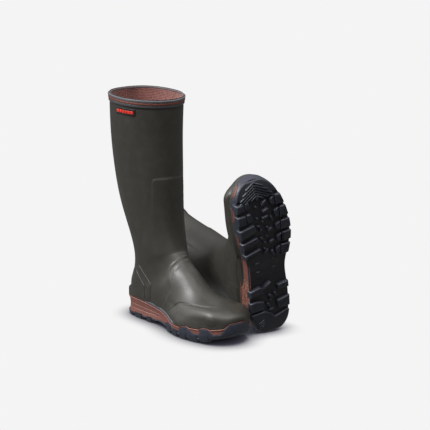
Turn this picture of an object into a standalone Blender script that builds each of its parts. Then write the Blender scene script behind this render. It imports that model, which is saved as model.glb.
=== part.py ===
"""A pair of insulated rubber hunting boots, the right one standing and the left one lying on its back.

Each boot is lofted in its own frame: x runs from the heel to the toe, z up from the ground, and y
towards the inner side of the right boot. The left boot is the mirror image. Every layer and overlay
is cut from one grid of the boot's form, so neighbours follow each other with an even gap.
"""
import math

import bmesh
import bpy
import numpy as np
from mathutils import Matrix

# Driving dimensions, metres and degrees
GAP = 0.0003                # between pieces that touch
RUBBER = 0.0024             # outer shell
INSULATION = 0.0030         # foam bootie
LINING = 0.0011             # knitted lining
BOARD = 0.0016              # insole board
SHANK = 0.0015              # arch support strip
STIFFENER = 0.0012          # heel and toe stiffeners between shell and foam
FOOTBED = 0.0045            # removable insole
OVERLAY = 0.0011            # rubber reinforcements on the shell
BADGE = 0.0010
SPUR = 0.0034               # kick-off ledge at the heel
SEAM_LIFT = 0.0006          # the midsole's foot above the outsole's rim
LUG = 0.0045                # tread depth
LUG_ROOT = 0.0015           # how far the lugs reach into the outsole
PLATE = 0.0045              # outsole under the midsole
CHAMFER = 0.0012            # round the outsole's lower edge
RIM_WALL = 0.0030           # outsole's raised rim
WELT = 0.0120               # width of the midsole's top edge
ARCH_AT = 0.120             # middle of the sole's waist
ARCH_SPREAD = 0.024
ARCH_LIFT = 0.0030          # waist of the outsole above the tread's own height
TOE_SPRING = 0.0180         # lift of the sole at the toe
SPRING_START = 0.210
SPRING_LENGTH = 0.090
CUSHION_AT = (0.056, 0.001)
CUSHION_HALF = (0.024, 0.017)
CUSHION_HEIGHT = 0.0070
CUSHION_BED = 0.0020        # midsole under the cushion
CUSHION_SIDES = 20
HEEL_TOP = 0.0450           # above the midsole at the heel

# The pair: standing heel's place, and how the other boot lies against its toe
RIGHT_AT = (-0.0826, -0.0792, 0.0)
LEFT_HEEL = (0.1924, 0.0218, 0.0)       # the point on the floor that the left heel turns on
LEFT_LIFT = -0.0003                     # its sole corner above that point
LEFT_YAW = -10.6
LEFT_ROLL = 10.7
LEFT_TILT = 81.8

# Sections from the rim (0) to the tip of the toe (1): place, front x z, back x z, half width,
# middle y, roundness of the front half and of the back half, and where the section is widest
SECTIONS = np.array([
    (0.00, 0.1055, 0.4120, -0.0415, 0.4160, 0.0620, 0.0027, 2.05, 2.05, 0.50),
    (0.10, 0.1035, 0.3500, -0.0440, 0.3520, 0.0605, 0.0024, 2.05, 2.05, 0.50),
    (0.22, 0.1070, 0.2800, -0.0390, 0.2800, 0.0565, 0.0018, 2.05, 2.05, 0.50),
    (0.33, 0.1110, 0.2150, -0.0215, 0.2120, 0.0510, 0.0014, 2.05, 2.05, 0.50),
    (0.43, 0.1190, 0.1650, 0.0070, 0.1500, 0.0450, 0.0010, 2.10, 2.10, 0.50),
    (0.51, 0.1290, 0.1380, 0.0180, 0.1050, 0.0415, 0.0000, 2.15, 2.20, 0.50),
    (0.57, 0.1350, 0.1322, 0.0120, 0.0680, 0.0400, 0.0000, 2.15, 2.40, 0.52),
    (0.62, 0.1490, 0.1188, 0.0120, 0.0340, 0.0400, 0.0000, 2.20, 2.60, 0.58),
    (0.67, 0.1645, 0.1089, 0.0450, 0.0220, 0.0410, 0.0000, 2.20, 3.00, 0.62),
    (0.73, 0.1825, 0.0976, 0.0950, 0.0200, 0.0420, 0.0000, 2.20, 3.20, 0.66),
    (0.80, 0.2050, 0.0830, 0.1500, 0.0200, 0.0445, 0.0010, 2.20, 3.40, 0.66),
    (0.87, 0.2280, 0.0740, 0.2050, 0.0200, 0.0475, 0.0020, 2.25, 3.40, 0.62),
    (0.93, 0.2540, 0.0705, 0.2500, 0.0230, 0.0455, 0.0030, 2.30, 3.20, 0.58),
    (0.97, 0.2760, 0.0600, 0.2770, 0.0280, 0.0370, 0.0050, 2.30, 2.80, 0.55),
    (1.00, 0.2930, 0.0460, 0.2930, 0.0380, 0.0080, 0.0060, 2.30, 2.30, 0.50),
])

# Grid lines down the boot, and round it from the middle of the front to that of the back
ROWS = np.array([0.008, 0.06, 0.15, 0.24, 0.33, 0.42, 0.47, 0.52, 0.56, 0.585, 0.607, 0.64,
                 0.69, 0.75, 0.80, 0.86, 0.91, 0.945, 0.975])
HALF_ROUND = np.array([0.05, 0.10, 0.15, 0.20, 0.25, 0.30, 0.345, 0.385, 0.43, 0.485])
COLUMNS = np.concatenate([[0.0], HALF_ROUND, 1 - HALF_ROUND[::-1]])

# The sole's plan, heel to toe: outer side and inner side
OUTER_EDGE = [(0.000, 0.000), (0.005, -0.020), (0.020, -0.0335), (0.045, -0.0385), (0.080, -0.0395),
              (0.110, -0.0390), (0.135, -0.0415), (0.160, -0.0488), (0.190, -0.0540),
              (0.215, -0.0525), (0.245, -0.0465), (0.270, -0.0380), (0.287, -0.0260),
              (0.297, -0.0080), (0.299, 0.0060)]
INNER_EDGE = [(0.000, 0.000), (0.005, 0.020), (0.022, 0.0350), (0.045, 0.0395), (0.075, 0.0395),
              (0.110, 0.0375), (0.140, 0.0370), (0.170, 0.0415), (0.205, 0.0465), (0.240, 0.0480),
              (0.266, 0.0455), (0.281, 0.0390), (0.291, 0.0300), (0.297, 0.0180), (0.299, 0.0060)]
STATIONS = np.array([0.0, 0.0012, 0.005, 0.012, 0.022, 0.036, 0.055, 0.075, 0.095, 0.115, 0.135,
                     0.150, 0.166, 0.171, 0.193, 0.198, 0.213, 0.220, 0.230, 0.243, 0.248, 0.260,
                     0.266, 0.272, 0.283, 0.288, 0.293, 0.297, 0.2985, 0.299])
# Height of the sole's side: where the outsole's rim ends, and where the midsole ends
SEAM = [(0.000, 0.0105), (0.045, 0.0100), (0.075, 0.0115), (0.135, 0.0140), (0.150, 0.0175),
        (0.166, 0.0160), (0.171, 0.0125), (0.193, 0.0130), (0.198, 0.0190), (0.213, 0.0240),
        (0.220, 0.0205), (0.230, 0.0155), (0.243, 0.0160), (0.248, 0.0270), (0.260, 0.0280),
        (0.266, 0.0240), (0.272, 0.0200), (0.283, 0.0220), (0.288, 0.0300), (0.293, 0.0390),
        (0.299, 0.0410)]
TOP = [(0.000, 0.0325), (0.010, 0.0342), (0.030, 0.0358), (0.058, 0.0360), (0.092, 0.0338),
       (0.123, 0.0298), (0.150, 0.0250), (0.171, 0.0195), (0.193, 0.0195), (0.213, 0.0260),
       (0.220, 0.0238), (0.243, 0.0250), (0.248, 0.0290), (0.260, 0.0300), (0.266, 0.0280),
       (0.283, 0.0315), (0.288, 0.0330), (0.293, 0.0410), (0.299, 0.0430)]


# ---- the boot's form -------------------------------------------------------------------------

def smooth(knots, values, at):
    """Natural cubic spline through values at the knots."""
    knots, values, at = (np.asarray(a, float) for a in (knots, values, at))
    last = len(knots) - 1
    width = np.diff(knots)
    system = np.eye(last + 1)
    right = np.zeros_like(values)
    for i in range(1, last):
        system[i, i - 1:i + 2] = width[i - 1], 2 * (width[i - 1] + width[i]), width[i]
        right[i] = 6 * ((values[i + 1] - values[i]) / width[i]
                        - (values[i] - values[i - 1]) / width[i - 1])
    bend = np.linalg.solve(system, right)
    i = np.clip(np.searchsorted(knots, at) - 1, 0, last - 1)
    past, step = at - knots[i], width[i]
    if values.ndim > 1:
        past, step = past[..., None], step[..., None]
    slope = (values[i + 1] - values[i]) / step - step * (2 * bend[i] + bend[i + 1]) / 6
    return values[i] + past * (slope + past * (bend[i] / 2 + past * (bend[i + 1] - bend[i]) / (6 * step)))


def form(down, around):
    """Points of the boot's outer form: down from the rim to the toe, around from the front."""
    down, around = np.broadcast_arrays(np.asarray(down, float), np.asarray(around, float))
    row = smooth(SECTIONS[:, 0], SECTIONS[:, 1:], down)
    front_x, front_z, back_x, back_z, half, middle, round_front, round_back, widest = np.moveaxis(row, -1, 0)
    cos, sin = np.cos(2 * np.pi * around), np.sin(2 * np.pi * around)
    power = 2 / np.where(cos > 0, round_front, round_back)
    cos, sin = np.sign(cos) * np.abs(cos) ** power, np.sign(sin) * np.abs(sin) ** power
    across = (1 - cos) / 2 + (widest - 0.5) * (1 - cos * cos)
    return np.stack([front_x + (back_x - front_x) * across, middle - half * sin,
                     front_z + (back_z - front_z) * across], -1)


def skin(down, around, depth):
    """Points sunk below the form by depth; a negative depth stands proud of it."""
    down, around, depth = np.broadcast_arrays(*(np.asarray(a, float) for a in (down, around, depth)))
    step = 1e-4
    along = form(np.clip(down + step, 0, 1), around) - form(np.clip(down - step, 0, 1), around)
    across = form(down, around + step) - form(down, around - step)
    normal = np.cross(across, along)
    normal /= np.linalg.norm(normal, axis=-1, keepdims=True)
    return form(down, around) - depth[..., None] * normal


# ---- solids ----------------------------------------------------------------------------------

def solid(name, points, faces, look, side, group):
    """One closed mesh object on a boot, mirrored for the left one."""
    points = np.array(points, float)
    if side == "left":
        points[:, 1] *= -1
        faces = [tuple(reversed(face)) for face in faces]
    used = sorted({index for face in faces for index in face})
    renumber = {old: new for new, old in enumerate(used)}
    mesh = bpy.data.meshes.new(f"{side}_{name}")
    mesh.from_pydata([points[i] for i in used], [], [[renumber[i] for i in face] for face in faces])
    mesh.materials.append(MATERIALS[look])
    mesh.shade_smooth()
    mesh.set_sharp_from_angle(angle=math.radians(38))
    piece = bpy.data.objects.new(f"{side}_{name}", mesh)
    COLLECTIONS[group].objects.link(piece)
    piece.parent = FRAMES[side]
    if group == "cutters":
        piece.display_type = "WIRE"
        piece.hide_render = True
    return piece


def cells_between(rows, columns):
    """Grid cells between two places down the boot and two places round it, each way from the front."""
    chosen = np.zeros((len(ROWS), len(COLUMNS)), bool)
    middle = np.minimum(COLUMNS, 1 - COLUMNS)
    after = np.roll(middle, -1)
    low, high = np.minimum(middle, after), np.maximum(middle, after)
    high[len(HALF_ROUND)] = 0.5
    columns_in = (low >= columns[0] - 1e-6) & (high <= columns[1] + 1e-6)
    ends = np.append(ROWS[1:], 1.0)
    rows_in = (ROWS >= rows[0] - 1e-6) & (ends <= rows[1] + 1e-6)
    chosen[np.ix_(rows_in, columns_in)] = True
    return chosen


def touched(cells):
    """Grid points that the cells touch."""
    around = cells | np.roll(cells, 1, axis=1)
    points = around.copy()
    points[1:] |= around[:-1]
    return points


def layer_faces(cells):
    """Faces of a closed body over the cells; each grid point is doubled, outer first, then inner."""
    rows, columns = cells.shape
    count = rows * columns + 1
    faces = []

    def at(i, j):
        return count - 1 if i == rows else i * columns + j % columns

    def cell(i, j):
        return 0 <= i < rows and cells[i, j % columns]

    for i, j in zip(*np.nonzero(cells)):
        corner = [at(i, j), at(i, j + 1), at(i + 1, j + 1), at(i + 1, j)]
        triangles = [corner[:3]] if i == rows - 1 else [corner[:3], [corner[0], corner[2], corner[3]]]
        faces += [tuple(t) for t in triangles]
        faces += [tuple(count + k for k in reversed(t)) for t in triangles]
        edges = ((cell(i - 1, j), 0, 1), (cell(i, j + 1), 1, 2), (cell(i, j - 1), 3, 0))
        if i < rows - 1:
            edges += ((cell(i + 1, j), 2, 3),)
        for inside, a, b in edges:
            if not inside:
                a, b = corner[a], corner[b]
                faces += [(b, a, count + a), (b, count + a, count + b)]
    return faces


def grid_points(depth):
    """The grid sunk by depth, with the middle of the toe as its last point."""
    depth = np.broadcast_to(np.asarray(depth, float), (len(ROWS), len(COLUMNS)))
    body = skin(ROWS[:, None], COLUMNS[None, :], depth).reshape(-1, 3)
    tip = form(1.0, COLUMNS).mean(axis=0) - (depth[-1, 0], 0, 0)
    return np.vstack([body, tip])


def layer(name, cells, outer, inner, look, side, group="boots"):
    """A closed layer between two depths of the grid."""
    points = np.vstack([grid_points(outer), grid_points(inner)])
    return solid(name, points, layer_faces(cells), look, side, group)


def ring(name, profile, look, side):
    """A closed band round the shaft, from the (down, depth) points of its profile in order."""
    columns, corners = len(COLUMNS), len(profile)
    points = np.vstack([skin(down, COLUMNS, depth) for down, depth in profile])
    faces = []
    for i in range(corners):
        for j in range(columns):
            a, b = i * columns + j, i * columns + (j + 1) % columns
            c, d = ((i + 1) % corners) * columns + (j + 1) % columns, ((i + 1) % corners) * columns + j
            faces += [(a, b, c), (a, c, d)]
    return solid(name, points, faces, look, side, "boots")


def patch(name, rows, columns, outer, inner, look, side):
    """A small plate on the shaft, between two depths."""
    grid = np.meshgrid(rows, columns, indexing="ij")
    points = np.vstack([skin(*grid, depth).reshape(-1, 3) for depth in (outer, inner)])
    wide, half = len(columns), len(rows) * len(columns)
    faces = []
    for i in range(len(rows) - 1):
        for j in range(wide - 1):
            a, b, c, d = i * wide + j, i * wide + j + 1, (i + 1) * wide + j + 1, (i + 1) * wide + j
            for triangle in ((a, b, c), (a, c, d)):
                faces += [triangle, tuple(half + k for k in reversed(triangle))]
    top = list(range(wide))
    right = [i * wide + wide - 1 for i in range(len(rows))]
    bottom = [(len(rows) - 1) * wide + j for j in reversed(range(wide))]
    left = [i * wide for i in reversed(range(len(rows)))]
    for edge in (top, right, bottom, left):
        for a, b in zip(edge, edge[1:]):
            faces += [(b, a, half + a), (b, half + a, half + b)]
    return solid(name, points, faces, look, side, "boots")


# ---- the sole --------------------------------------------------------------------------------

def spring(x):
    """Height of the ground side of the tread, which lifts towards the toe."""
    return TOE_SPRING * np.clip((np.asarray(x) - SPRING_START) / SPRING_LENGTH, 0, 1) ** 2


def underside(x):
    """Height of the outsole's underside between the lugs."""
    return LUG + spring(x) + ARCH_LIFT * np.exp(-((np.asarray(x) - ARCH_AT) / ARCH_SPREAD) ** 2)


def edge_curve(edge):
    """The sole's edge as a dense curve from heel to toe."""
    edge = np.array(edge)
    length = np.concatenate([[0], np.cumsum(np.hypot(*np.diff(edge, axis=0).T))])
    return smooth(length, edge, np.linspace(0, length[-1], 600))


def sole_edge(inset):
    """Both sides of the plan at the stations, moved inwards by inset: two rows of x and y."""
    sides = []
    for edge, turn in ((OUTER_EDGE, 1), (INNER_EDGE, -1)):
        curve = edge_curve(edge)
        heading = np.gradient(curve, axis=0)
        heading[0] = (0, -turn)
        heading[-1] = (0, turn)
        heading /= np.linalg.norm(heading, axis=1, keepdims=True)
        inner = curve + inset * turn * np.stack([-heading[:, 1], heading[:, 0]], -1)
        along = np.maximum.accumulate(curve[:, 0])
        place = np.interp(STATIONS, along, np.arange(len(curve)))
        place[-1] = len(curve) - 1
        sides.append(np.stack([np.interp(place, np.arange(len(curve)), inner[:, k]) for k in (0, 1)], -1))
    return sides


def ladder(outer_row, inner_row, upward):
    """Faces across the sole between two rows that share their first and last points."""
    faces = []
    last = len(outer_row) - 1
    for k in range(last):
        quad = (outer_row[k], outer_row[k + 1], inner_row[k + 1], inner_row[k])
        corners = [p for n, p in enumerate(quad) if p not in quad[:n]]
        triangles = [corners[:3]] + ([[corners[0], corners[2], corners[3]]] if len(corners) == 4 else [])
        faces += [tuple(t) if upward else tuple(reversed(t)) for t in triangles]
    return faces


def sole_solid(name, levels, look, side, group="boots"):
    """A closed body of stacked rings of the sole's plan; each level is (inset, height of x)."""
    points, loops = [], []
    for inset, height in levels:
        outer, inner = sole_edge(inset)
        first = len(points)
        points += [(x, y, height(s)) for (x, y), s in zip(outer, STATIONS)]
        points += [(x, y, height(s)) for (x, y), s in list(zip(inner, STATIONS))[1:-1]]
        count = len(STATIONS)
        outer_row = list(range(first, first + count))
        inner_row = [first] + list(range(first + count, len(points))) + [first + count - 1]
        loops.append((outer_row, inner_row))
    faces = ladder(*loops[0], upward=False)
    for below, above in zip(loops, loops[1:]):
        for part, turn in ((0, 1), (1, -1)):
            low, high = below[part], above[part]
            for k in range(len(low) - 1):
                quads = [(low[k], low[k + 1], high[k + 1]), (low[k], high[k + 1], high[k])]
                faces += quads if turn == 1 else [tuple(reversed(q)) for q in quads]
    faces += ladder(*loops[-1], upward=True)
    return solid(name, points, faces, look, side, group)


def seam(x):
    return np.interp(x, *zip(*SEAM))


def top(x):
    return np.interp(x, *zip(*TOP))


def floor(x):
    """Top of the outsole's plate, inside its rim."""
    return LUG + PLATE + spring(x)


def midsole_foot(x):
    """Where the midsole's side starts, above the outsole's rim."""
    return np.maximum(seam(x), floor(x) + GAP) + SEAM_LIFT


def tread_lugs():
    """Plan outlines of the lugs, each a convex polygon in x and y."""
    lugs = []
    for x in (0.258, 0.235, 0.211, 0.187, 0.164):                       # slanted bars, inner side
        reach = 0.040 if x > 0.17 else 0.035
        lugs.append([(x - 0.009, reach), (x + 0.006, reach), (x + 0.012, 0.015), (x - 0.003, 0.015)])
    for x, reach in ((0.256, 0.038), (0.231, 0.045), (0.205, 0.048), (0.181, 0.047), (0.156, 0.042)):
        lugs.append([(x - 0.010, -reach), (x + 0.008, -reach), (x + 0.012, -reach + 0.008),
                     (x + 0.008, -0.022), (x - 0.005, -0.018), (x - 0.011, -reach + 0.012)])
    for x, y in ((0.262, -0.006), (0.240, -0.004), (0.218, -0.005), (0.196, -0.002), (0.173, -0.003)):
        lugs.append([(x - 0.006, y - 0.008), (x + 0.006, y - 0.003), (x + 0.006, y + 0.003),
                     (x - 0.006, y + 0.008)])
    lugs.append([(0.270, 0.030), (0.284, 0.026), (0.291, 0.010), (0.279, 0.008)])
    lugs.append([(0.270, -0.026), (0.279, 0.004), (0.290, 0.002), (0.284, -0.016)])
    for x in (0.089, 0.062):                                            # heel bars
        lugs.append([(x - 0.009, 0.034), (x + 0.006, 0.034), (x + 0.010, 0.010), (x - 0.006, 0.012)])
        lugs.append([(x - 0.009, -0.033), (x + 0.005, -0.033), (x + 0.009, -0.010), (x - 0.007, -0.010)])
    lugs.append([(0.008, 0.0), (0.015, -0.018), (0.036, -0.032), (0.042, -0.008), (0.042, 0.010),
                 (0.036, 0.033), (0.015, 0.019)])                       # rounded back of the heel
    return lugs


def lug_solid(side):
    """All the lugs, as prisms from the ground up into the outsole's plate."""
    points, faces = [], []
    for outline in tread_lugs():
        area = sum(a[0] * b[1] - b[0] * a[1] for a, b in zip(outline, outline[1:] + outline[:1]))
        outline = outline if area > 0 else outline[::-1]
        first, count = len(points), len(outline)
        points += [(x, y, float(spring(x))) for x, y in outline]
        points += [(x, y, float(underside(x)) + LUG_ROOT) for x, y in outline]
        for k in range(count):
            a, b = first + k, first + (k + 1) % count
            faces += [(a, b, b + count), (a, b + count, a + count)]
        for k in range(1, count - 1):
            faces.append((first, first + k + 1, first + k))
            faces.append((first + count, first + count + k, first + count + k + 1))
    return solid("lug_blocks", points, faces, "tread", side, "cutters")


def boolean(piece, operation, other):
    step = piece.modifiers.new(other.name, "BOOLEAN")
    step.operation = operation
    step.object = other
    step.solver = "EXACT"


def drum(name, half, low, high, look, side, group):
    """An upright oval block in the heel."""
    block = bmesh.new()
    bmesh.ops.create_cone(block, cap_ends=True, cap_tris=True, segments=CUSHION_SIDES, radius1=1, radius2=1,
                          depth=high - low)
    points = [(CUSHION_AT[0] + half[0] * v.co.x, CUSHION_AT[1] + half[1] * v.co.y, (low + high) / 2 + v.co.z)
              for v in block.verts]
    faces = [tuple(v.index for v in face.verts) for face in block.faces]
    block.free()
    return solid(name, points, faces, look, side, group)


def sole(side, overlay_points):
    """Outsole, midsole and the heel cushion in its pocket."""
    proud = np.where(overlay_points, -(2 * GAP + OVERLAY), -GAP)
    points = grid_points(proud)
    whole = np.ones((len(ROWS), len(COLUMNS)), bool)
    rows, columns = whole.shape
    faces = [f for f in layer_faces(whole) if max(f) <= rows * columns]
    faces += [(0, k + 1, k) for k in range(1, columns - 1)]
    last = solid("last", points, faces, "rubber", side, "cutters")

    outsole = sole_solid("outsole", [
        (CHAMFER, underside), (0.0, lambda x: underside(x) + CHAMFER), (0.0, seam), (RIM_WALL, seam),
        (RIM_WALL, floor)], "tread", side)
    boolean(outsole, "UNION", lug_solid(side))
    boolean(outsole, "DIFFERENCE", last)

    inner = RIM_WALL + 2 * GAP
    midsole = sole_solid("midsole", [
        (inner, lambda x: floor(x) + GAP), (inner, midsole_foot), (GAP, midsole_foot), (GAP, top),
        (WELT, top)], "midsole", side)
    base = LUG + PLATE + 3 * GAP + CUSHION_BED
    pocket = drum("cushion_pocket", [h + GAP for h in CUSHION_HALF], base - GAP, HEEL_TOP, "midsole", side,
                  "cutters")
    boolean(midsole, "DIFFERENCE", last)
    boolean(midsole, "DIFFERENCE", pocket)
    drum("heel_cushion", CUSHION_HALF, base, base + CUSHION_HEIGHT, "foam", side, "boots")


# ---- one boot --------------------------------------------------------------------------------

def overlay_masks():
    """Cells of the rubber reinforcements on the outside of the shell."""
    saddle = np.zeros((len(ROWS), len(COLUMNS)), bool)
    for rows, reach in (((0.47, 0.52), 0.05), ((0.52, 0.56), 0.10), ((0.56, 0.607), 0.15),
                        ((0.607, 0.69), 0.20), ((0.69, 0.75), 0.25)):
        saddle |= cells_between(rows, (0, reach))
    toe = cells_between((0.80, 0.945), (0.20, 0.345)) | cells_between((0.945, 1.0), (0, 0.345))
    counter = cells_between((0.52, 0.56), (0.25, 0.5)) | cells_between((0.56, 0.64), (0.25, 0.385))
    return {"vamp_saddle": saddle, "toe_cap": toe, "heel_counter": counter,
            "shin_guard": cells_between((0.24, 0.42), (0, 0.15))}


def boot(side):
    whole = np.ones((len(ROWS), len(COLUMNS)), bool)
    masks = overlay_masks()
    covered = np.zeros(whole.shape, bool)
    for name, cells in masks.items():
        layer(name, cells, -(GAP + OVERLAY), -GAP, "rubber", side)
        covered |= touched(cells)
    layer("heel_spur", cells_between((0.585, 0.607), (0.43, 0.5)), -(GAP + SPUR), -GAP, "tread", side)

    layer("rubber_shell", whole, 0.0, RUBBER, "rubber", side)
    board = cells_between((0.64, 0.945), (0.385, 0.5))
    strip = cells_between((0.69, 0.80), (0.485, 0.5))
    stiff = {"heel_stiffener": cells_between((0.52, 0.607), (0.25, 0.5)),
             "toe_stiffener": cells_between((0.91, 0.975), (0, 0.345))}
    under = RUBBER + GAP
    foam = np.full(whole.shape, under)
    foam[touched(board)] += BOARD + GAP
    foam[touched(strip)] += SHANK + GAP
    for name, cells in stiff.items():
        layer(name, cells, under, under + STIFFENER, "board", side)
        foam[touched(cells)] = under + STIFFENER + GAP
    layer("insole_board", board, under, under + BOARD, "board", side)
    layer("shank", strip, under + BOARD + GAP, under + BOARD + GAP + SHANK, "steel", side)
    layer("insulation", whole, foam, foam + INSULATION, "foam", side)
    knit = foam + INSULATION + GAP
    layer("lining", whole, knit, knit + LINING, "lining", side)
    layer("footbed", board, knit + LINING + GAP, knit + LINING + GAP + FOOTBED, "footbed", side)

    ring("rim_bead", [(0.0073, -0.0012), (0.0073, 0.0082), (0.0030, 0.0084), (0.0, 0.0060), (0.0, 0.0014),
                      (0.0030, -0.0014)], "binding", side)
    ring("rim_stripe", [(0.0090, -0.0003), (0.0090, -0.0012), (0.0135, -0.0012), (0.0135, -0.0003)],
         "stripe", side)
    ring("rim_band", [(0.0142, -0.0003), (0.0142, -0.0014), (0.0230, -0.0014), (0.0230, -0.0003)],
         "binding", side)
    patch("badge", (0.027, 0.050), (0.15, 0.20, 0.25), -(2 * GAP + BADGE), -2 * GAP, "badge", side)
    patch("badge_bar", (0.033, 0.043), (0.165, 0.20, 0.235), -(3 * GAP + 1.5 * BADGE), -(3 * GAP + BADGE),
          "mark", side)
    sole(side, covered)


# ---- scene set-up ----------------------------------------------------------------------------

def material(name, colour, roughness, metallic=0.0):
    look = bpy.data.materials.new(name)
    look.use_nodes = True
    shader = look.node_tree.nodes["Principled BSDF"]
    shader.inputs["Base Color"].default_value = (*colour, 1)
    shader.inputs["Roughness"].default_value = roughness
    shader.inputs["Metallic"].default_value = metallic
    return look


def boot_frame(side):
    """The empty that carries one boot; the left one stands on the joint's axis at the heel."""
    frame = bpy.data.objects.new(f"{side}_boot", None)
    COLLECTIONS["boots"].objects.link(frame)
    if side == "right":
        frame.location = RIGHT_AT
        return frame
    hinge = bpy.data.objects.new("left_boot_hinge", None)
    hinge.location = LEFT_HEEL
    COLLECTIONS["boots"].objects.link(hinge)
    frame.parent = hinge
    turn = Matrix.Rotation(math.radians(LEFT_YAW), 4, "Z")
    turn = turn @ Matrix.Rotation(math.radians(LEFT_ROLL), 4, "X")
    turn = turn @ Matrix.Rotation(math.radians(-LEFT_TILT), 4, "Y")
    frame.matrix_local = Matrix.Translation((0, 0, LEFT_LIFT)) @ turn
    return frame


for old in list(bpy.data.objects):
    bpy.data.objects.remove(old)

COLLECTIONS = {"boots": bpy.data.collections.new("insulated_hunting_boots"),
               "cutters": bpy.data.collections.new("cutters")}
for each in COLLECTIONS.values():
    bpy.context.scene.collection.children.link(each)

MATERIALS = {
    "rubber": material("olive_rubber", (0.042, 0.041, 0.034), 0.42),
    "binding": material("grey_binding", (0.085, 0.090, 0.098), 0.40),
    "stripe": material("russet_stripe", (0.150, 0.042, 0.030), 0.50),
    "badge": material("black_badge", (0.010, 0.010, 0.011), 0.50),
    "mark": material("red_mark", (0.620, 0.030, 0.020), 0.45),
    "tread": material("navy_tread_rubber", (0.016, 0.020, 0.030), 0.55),
    "midsole": material("brick_midsole", (0.210, 0.065, 0.038), 0.60),
    "lining": material("terracotta_knit", (0.200, 0.075, 0.060), 0.90),
    "foam": material("grey_foam", (0.120, 0.120, 0.120), 0.95),
    "board": material("fibre_board", (0.330, 0.240, 0.140), 0.85),
    "footbed": material("footbed_foam", (0.060, 0.055, 0.050), 0.90),
    "steel": material("spring_steel", (0.450, 0.450, 0.460), 0.35, 1.0),
}
FRAMES = {}
for each in ("right", "left"):
    FRAMES[each] = boot_frame(each)
    boot(each)
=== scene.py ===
"""Looks for a pair of insulated rubber hunting boots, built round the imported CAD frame.

Each boot is shaped in its own frame, as in the CAD: x runs from the heel to the toe, z up from the
ground, and y towards the inner side of the right boot. The left boot is the mirror image, placed by
stand(). A place on the upper is (down, around): 0 to 1 from the rim to the tip of the toe, and turns
from the middle of the front, positive towards the outer side.
"""
import math

import bpy
import numpy as np
from mathutils import Matrix, Vector


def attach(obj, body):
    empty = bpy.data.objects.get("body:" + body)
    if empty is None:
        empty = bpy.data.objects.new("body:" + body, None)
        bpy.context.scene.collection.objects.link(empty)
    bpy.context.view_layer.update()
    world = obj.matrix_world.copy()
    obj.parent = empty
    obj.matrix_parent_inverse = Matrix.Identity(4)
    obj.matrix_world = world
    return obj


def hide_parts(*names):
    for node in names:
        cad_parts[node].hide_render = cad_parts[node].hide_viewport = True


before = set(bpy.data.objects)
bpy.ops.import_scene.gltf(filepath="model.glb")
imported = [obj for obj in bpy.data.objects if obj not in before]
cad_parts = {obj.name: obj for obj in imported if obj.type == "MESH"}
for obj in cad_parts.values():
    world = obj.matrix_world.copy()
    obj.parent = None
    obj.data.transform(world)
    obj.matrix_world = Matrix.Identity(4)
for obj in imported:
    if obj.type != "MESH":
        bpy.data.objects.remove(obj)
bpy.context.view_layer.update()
SIDES = ("right", "left")

# ---- where the boots stand, as in the CAD
RIGHT_AT = (-0.0826, -0.0792, 0.0)
LEFT_HEEL = (0.1924, 0.0218, -0.0003)
LEFT_YAW, LEFT_ROLL, LEFT_TILT = -10.6, 10.7, 81.8

# ---- the boot's form, as in the CAD
# place, front x z, back x z, half width, middle y, roundness front and back, where it is widest
SECTIONS = np.array([
    (0.00, 0.1055, 0.4120, -0.0415, 0.4160, 0.0620, 0.0027, 1.90, 2.45, 0.48),
    (0.10, 0.1035, 0.3500, -0.0440, 0.3520, 0.0605, 0.0024, 2.02, 2.15, 0.50),
    (0.22, 0.1070, 0.2800, -0.0390, 0.2800, 0.0565, 0.0018, 2.05, 2.05, 0.50),
    (0.33, 0.1110, 0.2150, -0.0215, 0.2120, 0.0510, 0.0014, 2.05, 2.05, 0.50),
    (0.43, 0.1190, 0.1650, 0.0070, 0.1500, 0.0450, 0.0010, 2.10, 2.10, 0.50),
    (0.51, 0.1290, 0.1380, 0.0180, 0.1050, 0.0415, 0.0000, 2.15, 2.20, 0.50),
    (0.57, 0.1350, 0.1322, 0.0120, 0.0680, 0.0400, 0.0000, 2.15, 2.40, 0.52),
    (0.62, 0.1490, 0.1188, 0.0120, 0.0340, 0.0400, 0.0000, 2.20, 2.60, 0.58),
    (0.67, 0.1645, 0.1089, 0.0450, 0.0220, 0.0410, 0.0000, 2.20, 3.00, 0.62),
    (0.73, 0.1825, 0.0976, 0.0950, 0.0200, 0.0420, 0.0000, 2.20, 3.20, 0.66),
    (0.80, 0.2050, 0.0830, 0.1500, 0.0200, 0.0445, 0.0010, 2.20, 3.40, 0.66),
    (0.87, 0.2280, 0.0740, 0.2050, 0.0200, 0.0475, 0.0020, 2.25, 3.40, 0.62),
    (0.93, 0.2540, 0.0705, 0.2500, 0.0230, 0.0455, 0.0030, 2.30, 3.20, 0.58),
    (0.97, 0.2760, 0.0600, 0.2770, 0.0280, 0.0370, 0.0050, 2.30, 2.80, 0.55),
    (1.00, 0.2930, 0.0460, 0.2930, 0.0380, 0.0080, 0.0060, 2.30, 2.30, 0.50),
])

# ---- the sole, as in the CAD: plan edges and heights of its side

def mm(*places):
    """Points given in millimetres."""
    return np.array(places) / 1000


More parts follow.
